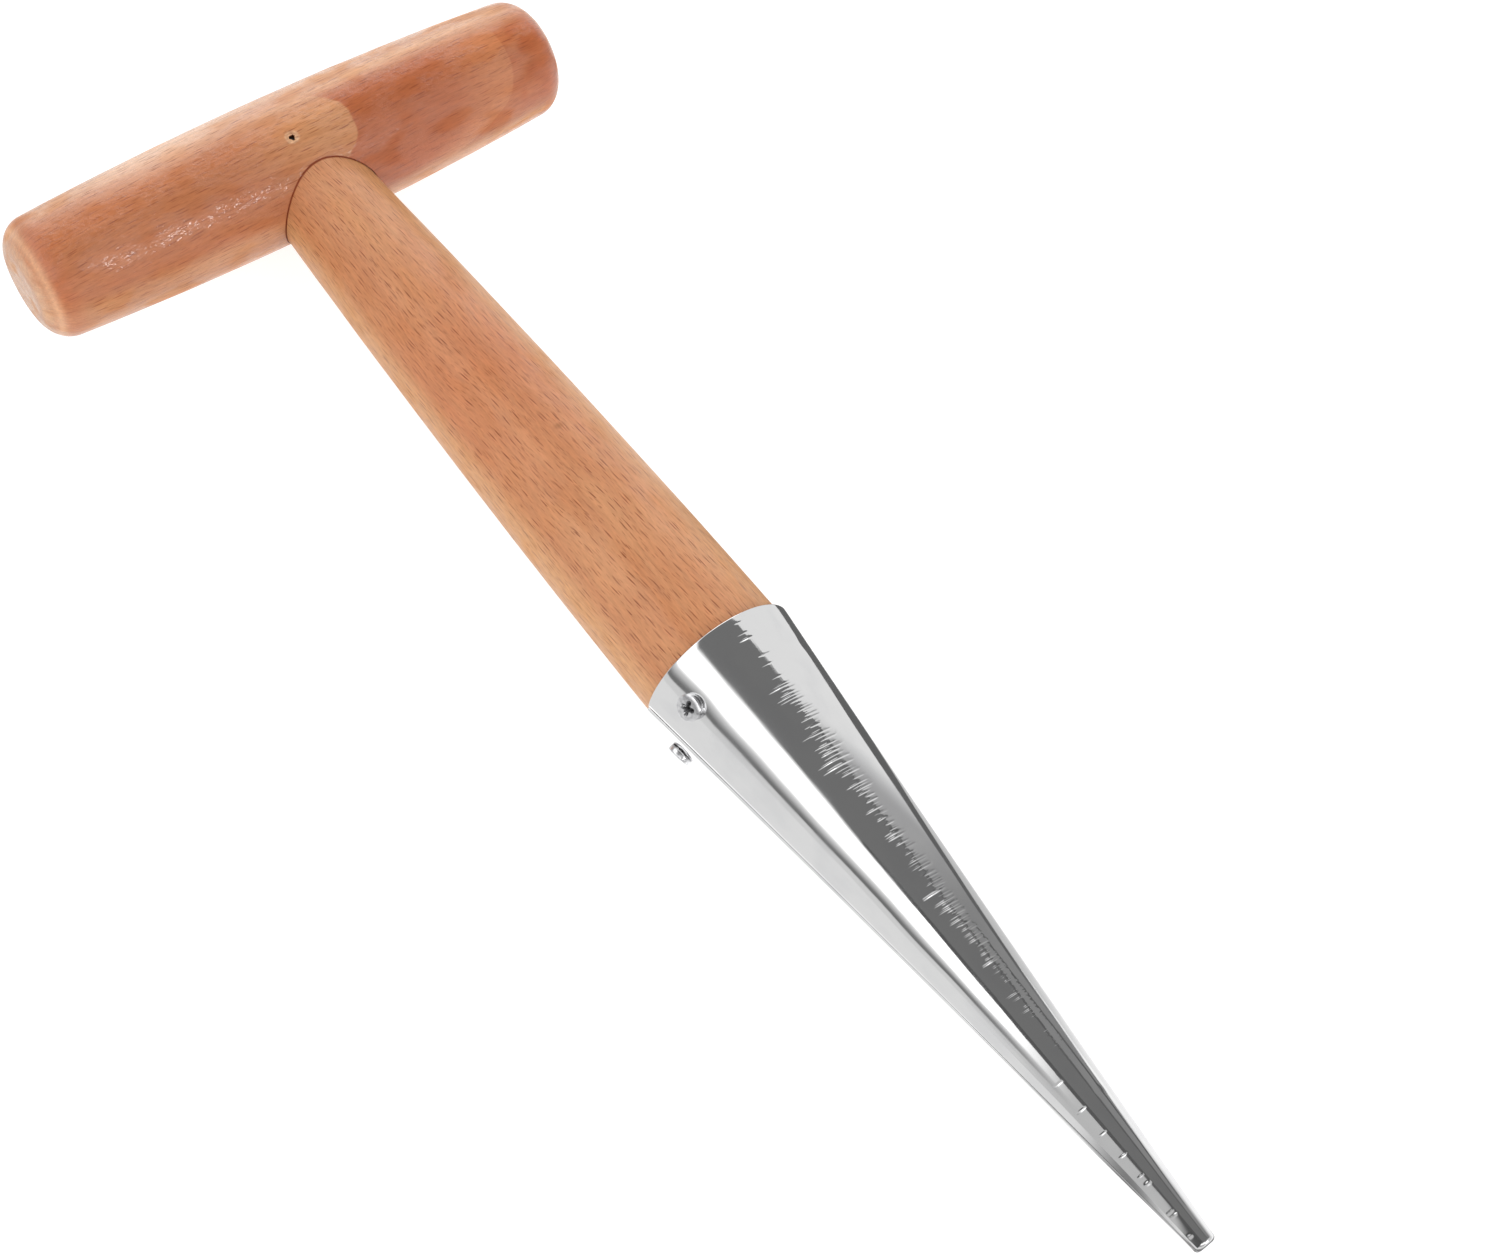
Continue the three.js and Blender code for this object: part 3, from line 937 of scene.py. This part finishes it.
def crossbar_layers(graph, own, grain):
    """A pale tongue round the brad in mottled red wood, redder near the +Y end, with a painted sheen along
    the back of its top and painted shade on its +X side.
    """
    x, y, z = graph.parts(own)
    fine = graph.times(graph.noise(own, (0.2, 0.1, 0.2), detail=3.0), 1.4)

    def depth(lean):
        lean = math.radians(lean)
        return graph.plus(graph.times(x, math.sin(lean)), graph.times(z, math.cos(lean)), fine, -0.7)

    bands = graph.noise(grain, (0.014, 0.32, 0.2), detail=3.0)
    mottle = graph.noise(own, (0.13, 0.09, 0.13), detail=3.0, roughness=0.6)
    pale = graph.mix(graph.smooth(bands, 0.36, 0.64), SAPWOOD, SAPWOOD_DARK)
    ahead = graph.math("MAXIMUM", y, 0)
    inside = graph.minus(depth(TONGUE_LEAN), graph.times(ahead, ahead, PALE_TIP))
    tongue = graph.times(graph.smooth(inside, PALE_DEPTH, PALE_DEPTH + 0.35), graph.smooth(y, -18, 4), 0.9)

    short = graph.minus(BAR_MID_RADIUS, depth(TONGUE_LEAN))
    reach = graph.plus(y, graph.times(short, short, DEEP_BEND))
    lighter = graph.times(graph.smooth(reach, 30, DEEP_Y - 2), graph.smooth(mottle, 0.25, 0.5))
    deep = graph.mix(graph.times(graph.smooth(mottle, 0.4, 0.62), 0.5), HEARTWOOD, HEARTWOOD_PALE)
    red = graph.mix(graph.plus(graph.times(lighter, 0.85), 0.1), HEARTWOOD, HEARTWOOD_PALE)
    red = graph.mix(graph.smooth(reach, DEEP_Y, DEEP_Y + 0.6), red, deep)
    wide = graph.smooth(depth(RED_LEAN), 7.2, 10.6)
    narrow = graph.times(graph.smooth(depth(RED_LEAN - 17), 7.2, 10.6), 0.7)
    redness = graph.between(graph.smooth(y, -12, 8), narrow, wide)
    redness = graph.times(redness, graph.minus(1.0, tongue))
    colour = graph.mix(redness, pale, red)
    # Painted sheen: a light strip along the back of the bar's top, strongest round y = -25.
    paler = graph.between(graph.bell(y, -25, 32), 0.15, 0.6)
    colour = graph.tint(colour, BACK_SHEEN, graph.smooth(depth(BACK_LEAN), 7.5, 12.5), paler)
    # Painted shade: the side leant towards +X is darkened a little.
    shade_factor = graph.between(graph.smooth(depth(SHADE_LEAN), 7.5, 11.5), 1.0, 0.83)
    return graph.scaled(colour, shade_factor)


def crossbar_ends(graph, own, colour):
    """Paler end grain on the flat discs, and a redder ring where the rounding starts. Part of the rounding
    at the -Y end is made lighter: a painted highlight."""
    x, y, z = graph.parts(own)
    along = graph.math("ABSOLUTE", y)
    half = BAR_LENGTH / 2
    ring = graph.bell(along, half - BAR_ROUND_ALONG + 2, 4.5)
    colour = graph.tint(colour, HEARTWOOD, ring, 0.4)
    wander = graph.times(graph.noise(own, (0.2, 0.1, 0.2)), 2.0)
    on_disc = graph.smooth(graph.plus(along, wander), half - 1.4, half + 0.9)
    streaks = graph.noise(own, (0.16, 0.1, 0.5), detail=2.0)
    pores = graph.noise(own, (3, 1, 3), detail=2.0)
    tone = graph.plus(graph.smooth(streaks, 0.35, 0.65), graph.times(graph.smooth(pores, 0.5, 0.75), 0.4))
    pale = graph.mix(tone, END_GRAIN, END_GRAIN_DARK)
    radius = graph.from_axis(x, z)
    edge = graph.bell(radius, BAR_END_RADIUS - BAR_ROUND_ACROSS + 0.7, 1.3)
    pale = graph.tint(pale, END_GRAIN_EDGE, edge, 0.45)
    # A painted highlight: part of the rounding at the -Y end is made lighter.
    rounding = graph.bell(radius, BAR_END_RADIUS - 1.6, 1.2)
    colour = graph.tint(colour, ROUNDING_HIGHLIGHT, rounding, graph.smooth(y, 5 - half, 2 - half), 0.6)
    return graph.tint(colour, pale, on_disc, 0.9)


def round_the_brad(graph, colour):
    """Pale torn fibres round the brad's hole, and painted shade inside it."""
    own = graph.own_place(BAR @ brad_place())
    x, y, z = graph.parts(own)
    ragged = graph.times(graph.noise(own, (0.9, 0.9, 0.9), detail=2.0), 0.9)
    away = graph.plus(graph.from_axis(x, y), ragged)
    outside = graph.smooth(z, 12, 13)
    colour = graph.tint(colour, TORN_WOOD, graph.smooth(away, 2.2, 1.6), outside, 0.75)
    # Painted shade: the wood below the mouth of the hole is darkened.
    mouth = bar_radius(abs(BRAD_Y))
    inside = graph.times(graph.smooth(z, mouth - 0.1, mouth - 0.5), graph.smooth(away, 2.6, 2.2))
    return graph.mix(inside, colour, HOLE_SHADE)


def crossbar_beech():
    """Redder beech in two tones, under a glossier coat with an orange-peel texture."""
    material, graph = new_material("crossbar_beech")
    # The grain runs along a texture's X, so the crossbar's own Y is turned to X.
    grain = beech_grain(graph, BAR @ rotation(90, "Z"))
    own = graph.own_place(BAR)
    colour = crossbar_layers(graph, own, grain)
    marks = ray_flecks(graph, grain)
    colour = graph.tint(colour, BAR_FLECK, marks, 0.75)
    colour = round_the_brad(graph, crossbar_ends(graph, own, colour))
    _, shaft_y, shaft_z = graph.parts(graph.own_place(SHAFT))
    socket = TENON_RADIUS + SOCKET_GAP
    joint = graph.smooth(graph.from_axis(shaft_y, shaft_z), socket + 0.2, socket)
    facing = graph.smooth(graph.parts(own)[0], 4, 6)
    colour = graph.tint(colour, GLUE_LINE, joint, facing, 0.95)
    beech_surface(graph, grain, colour, marks, coat=0.7, coat_roughness=0.09, peel_depth=0.11)
    return material


# ---------------- metals

def polished_steel():
    """Bright sheet steel, softly uneven, with fine polishing lines and faint smudges."""
    material, graph = new_material("polished_steel")
    own = graph.own_place(SHAFT)
    ripple = graph.noise(own, (0.05, 0.14, 0.14), detail=1.0)
    polish = graph.noise(own, (0.3, 5, 5))
    smudges = graph.noise(own, (0.1, 0.15, 0.15), detail=3.0)
    colour = graph.mix(graph.smooth(smudges, 0.4, 0.7), (0.7, 0.7, 0.7, 1), (0.66, 0.66, 0.665, 1))
    roughness = graph.between(graph.smooth(smudges, 0.35, 0.7), 0.07, 0.13)
    normal = bump(graph, polish, 0.0015, bump(graph, ripple, 0.1))
    surface(graph, Base_Color=colour, Metallic=1.0, Roughness=roughness, Normal=normal)
    return material


def bright_zinc(screw):
    """Zinc plating, faintly clouded and pitted, with painted shade inside the recess."""
    material, graph = new_material("bright_zinc_" + screw.name)
    own = graph.own_place(SHAFT @ screw_place(screw))
    x, y, z = graph.parts(own)
    clouds = graph.noise(own, (1.4, 1.4, 1.4), detail=3.0)
    pits = graph.noise(own, (9, 9, 9))
    colour = graph.mix(graph.smooth(clouds, 0.35, 0.7), (0.62, 0.62, 0.63, 1), (0.48, 0.48, 0.49, 1))
    # Painted shade: the recess is darkened towards its bottom, near the axis.
    deep = graph.smooth(z, SCREW_TOP - 0.12, SCREW_TOP - 0.5)
    central = graph.smooth(graph.from_axis(x, y), RECESS_HALF_SPAN + 0.2, RECESS_HALF_SPAN - 0.1)
    colour = graph.tint(colour, (0.06, 0.06, 0.06, 1), deep, central, 0.6)
    roughness = graph.between(clouds, 0.16, 0.3)
    surface(graph, Base_Color=colour, Metallic=1.0, Roughness=roughness, Normal=bump(graph, pits, 0.006))
    return material


def dull_steel():
    """The brad's wire with rusty patches, coloured dark as painted shade, since it lies deep in its hole."""
    material, graph = new_material("dull_steel")
    own = graph.own_place(BAR)
    rust = graph.noise(own, (2, 2, 2), detail=3.0)
    # Painted shade: both colours are far darker than steel, for the shade in the brad's hole.
    colour = graph.mix(graph.smooth(rust, 0.4, 0.65), (0.2, 0.19, 0.18, 1), (0.12, 0.07, 0.05, 1))
    roughness = graph.between(rust, 0.4, 0.65)
    surface(graph, Base_Color=colour, Metallic=0.9, Roughness=roughness, Normal=bump(graph, rust, 0.02))
    return material


# ---------------- the studio

# Radiances of the room's parts.
WALLS = 1.06
SOFTBOX = 2.6
CEILING = 0.265
BACK_WALL = 3.2
PANEL_LAMP = 28.0
HORIZON_DIP = 0.26
SEEN = 1.3  # what the camera itself sees behind the floor
FLOOR_REACH = 4000
CARD_REACH = 3900
CARD_LIFT = 0.4


def studio_light():
    """A white room round the dibber: a softbox on the -Y side and a dim ceiling overhead, a
    graded wall on the +Y side, a bright back wall and a small lamp beyond the cone's tip."""
    world = bpy.data.worlds.new("studio")
    bpy.context.scene.world = world
    world.use_nodes = True
    world.node_tree.nodes.clear()
    graph = Graph(world.node_tree)
    x, y, z = graph.parts(graph.add("ShaderNodeTexCoord", output="Generated"))

    def raised(start, end):
        """0 below one elevation and 1 above the other, in degrees, or the other way round."""
        return graph.smooth(z, math.sin(math.radians(start)), math.sin(math.radians(end)))

    def swap(light, share, other):
        return graph.plus(light, graph.times(share, graph.minus(other, light)))

    back = graph.times(graph.smooth(x, -0.32, -0.5), graph.smooth(y, -0.1, 0.2), raised(50, 32))
    light = swap(WALLS, back, BACK_WALL)
    minus_y = graph.smooth(y, -0.1, -0.35)
    light = swap(light, graph.times(minus_y, raised(24, 32)), SOFTBOX)
    dip = graph.times(minus_y, raised(8.5, 10.5), raised(26, 12.5))
    light = swap(light, dip, HORIZON_DIP)
    light = swap(light, raised(56, 64), CEILING)
    graded = graph.plus(CEILING, graph.times(raised(52, 2), 1.35))
    beside = graph.times(graph.smooth(y, 0.05, 0.3), graph.smooth(graph.math("ABSOLUTE", x), 0.42, 0.3))
    light = swap(light, beside, graded)
    lamp = graph.times(graph.smooth(x, 0.76, 0.82), graph.bell(y, 0.15, 0.33), graph.bell(z, 0.47, 0.1))
    light = swap(light, lamp, PANEL_LAMP)

    seen = graph.add("ShaderNodeLightPath", output="Is Camera Ray")
    background = graph.add("ShaderNodeBackground", {"Strength": swap(light, seen, SEEN)})
    graph.node("ShaderNodeOutputWorld", {"Surface": background})


def plain_floor():
    """A white table, faintly lit from below."""
    far = FLOOR_REACH
    points = [(-far, -far, 0), (far, -far, 0), (far, far, 0), (-far, far, 0)]
    floor = new_mesh("floor", points, [(0, 1, 2, 3)], Matrix.Identity(4))
    material, graph = new_material("pale_floor")
    grey = (0.35, 0.35, 0.35, 1)
    glow = {"Emission_Color": (1, 1, 1, 1), "Emission_Strength": 0.85}
    surface(graph, Base_Color=grey, Roughness=0.9, Specular_IOR_Level=0.0, **glow)
    floor.data.materials.append(material)


def glossy_card(name, edges, radiance, cover=None):
    """A card that shows only in gloss. edges are pairs of points along it. radiance, and cover
    where it fades out, are functions of a graph and the three own coordinates, in millimetres,
    which are counted along X from the cone's rim."""
    rim = (SHAFT @ Vector((RIM_X, 0, 0))).x
    place = Matrix.Translation((rim, 0, 0))
    points = [point for pair in edges for point in pair]
    faces = [(i, i + 2, i + 3, i + 1) for i in range(0, len(points) - 2, 2)]
    card = new_mesh(name, points, faces, place)
    material, graph = new_material(name)
    here = graph.parts(graph.own_place(place))
    shader = graph.add("ShaderNodeEmission", {"Strength": radiance(graph, *here)})
    if cover:
        clear = graph.add("ShaderNodeBsdfTransparent")
        shader = graph.add("ShaderNodeMixShader", {0: cover(graph, *here), 1: clear, 2: shader})
    graph.node("ShaderNodeOutputMaterial", {"Surface": shader})
    card.data.materials.append(material)
    for ray in ("camera", "diffuse", "shadow"):
        setattr(card, "visible_" + ray, False)


def upright(y, stations):
    """A card's edges from (distance from the rim, lowest, highest), at a distance beside it."""
    return [((x, y, low), (x, y, high)) for x, low, high in stations]


def flat(stations, lift=CARD_LIFT):
    """A card's edges just above the floor, from (distance from the rim, y, y)."""
    return [((x, near, lift), (x, far, lift)) for x, near, far in stations]


def even(radiance):
    """The same radiance all over a card."""
    return lambda graph, x, y, z: radiance


def fading(start, end):
    """A card that is clear at one distance from the rim and whole at the other."""
    return lambda graph, x, y, z: graph.smooth(x, start, end)


def side_cards():
    """On the +Y side: a grey card, brighter near the rim, and black strips."""

    def grey(graph, x, y, z):
        near_rim = graph.between(graph.smooth(graph.plus(x, graph.times(z, 0.5)), 41, 62), 1.0, 0.5)
        return graph.times(near_rim, graph.between(graph.smooth(x, 42, 66), 1.0, 0.64))

    outline = [(-40, 2, 92), (-10, 2, 84), (8, 2, 75), (22, 2, 74), (41, 15, 76), (57, 20, 76)]
    outline += [(92, 27, 75), (112, 33, 75), (125, 42, 75), (138, 60, 75)]
    glossy_card("side_card", upright(36, outline), grey)
    lower = [(-40, 0, 18.5), (5, 0.5, 18.5), (24, 4, 21.5), (41, 13, 23), (57, 19, 25.5), (94, 28, 31)]
    glossy_card("lower_line", upright(30, lower), even(0.15), fading(93, 72))
    middle = [(66, 52, 56), (79, 46.5, 52), (90, 42, 47.5), (101, 38, 43.5), (114, 37, 42.5), (129, 44, 50)]
    glossy_card("middle_line", upright(35, middle), even(0.13))
    upper = [(30, 76, 79), (60, 76, 84), (86, 76, 87), (121, 78, 89), (140, 84, 95)]
    glossy_card("upper_line", upright(35, upper), even(0.13))


def softbox_cards():
    """On the -Y side: cards that dim the softbox near the cone's tip, and its black frame."""

    def grey(graph, x, y, z):
        return graph.between(graph.smooth(x, 131, 137), 0.66, 0.1)

    outline = [(60, 10, 125), (106, 10, 100), (154, 10, 100)]
    glossy_card("tip_card", upright(-50, outline), grey, fading(78, 108))
    lowest = [(40, 110), (57, 100), (76, 93), (94, 86), (112, 83), (190, 83)]
    frame_edge = [(x, low, 125) for x, low in lowest]
    glossy_card("softbox_frame", upright(-49, frame_edge), even(0.12))


def floor_cards():
    """On the floor: bright beside the cone, white further off, and dark round its tip."""

    def blot(graph, x, y, z):
        return graph.bell(graph.plus(x, graph.times(y, 0.07)), 116, 14)

    def greyer(graph, x, y, z):
        return graph.between(graph.smooth(x, 56, 122), 0.7, 1.3)

    border = [(-6, -25), (37, -20), (79, -15.5), (108, -8)]
    glossy_card("near_floor", flat([(x, -2, y) for x, y in border]), even(1.7), fading(104, 88))
    border = [(-1000, -25), *border, (1000, -8)]
    glossy_card("far_floor", flat([(x, y, -CARD_REACH) for x, y in border]), even(0.97))
    glossy_card("tip_floor", flat([(92, -2, -160), (131, -2, -160)], 2 * CARD_LIFT), even(0.28), blot)
    glossy_card("end_floor", flat([(131, 30, -30), (170, 30, -30)], 2 * CARD_LIFT), even(0.28))
    glossy_card("plus_y_floor", flat([(-6, 31, CARD_REACH), (1000, 31, CARD_REACH)]), greyer)


# The camera looks down at the dibber from beside its cone.
CAMERA_AIM = Vector((10.81, 11.31, 14.0))
CAMERA_DISTANCE = 401.6
CAMERA_ELEVATION = 59.36
CAMERA_HEADING = -42.41  # from +Y towards +X
CAMERA_ROLL = 11.72
CAMERA_LENS = 51.45
SENSOR_WIDTH = 36
CLIP_START = 10


def camera():
    data = bpy.data.cameras.new("camera")
    data.lens = CAMERA_LENS
    data.sensor_width = SENSOR_WIDTH
    data.clip_start = CLIP_START * MM
    made = bpy.data.objects.new("camera", data)
    bpy.context.scene.collection.objects.link(made)
    turn = rotation(-CAMERA_HEADING, "Z") @ rotation(90 - CAMERA_ELEVATION, "X") @ rotation(CAMERA_ROLL, "Z")
    place = CAMERA_AIM * MM + turn @ Vector((0, 0, CAMERA_DISTANCE * MM))
    made.matrix_world = Matrix.Translation(place) @ turn
    bpy.context.scene.camera = made
    bpy.context.scene.view_settings.view_transform = "Standard"


# ---------------- everything together

camera()
studio_light()
plain_floor()
side_cards()
softbox_cards()
floor_cards()

finished(crossbar(), "crossbar", crossbar_beech())
finished(shaft(), "shaft", shaft_beech())
finished(cone_sheath(), "cone_sheath", polished_steel())
finished(brad(), "crossbar_brad", dull_steel())
for screw in SCREWS:
    finished(sheath_screw(screw), "sheath_screw_" + screw.name, bright_zinc(screw))
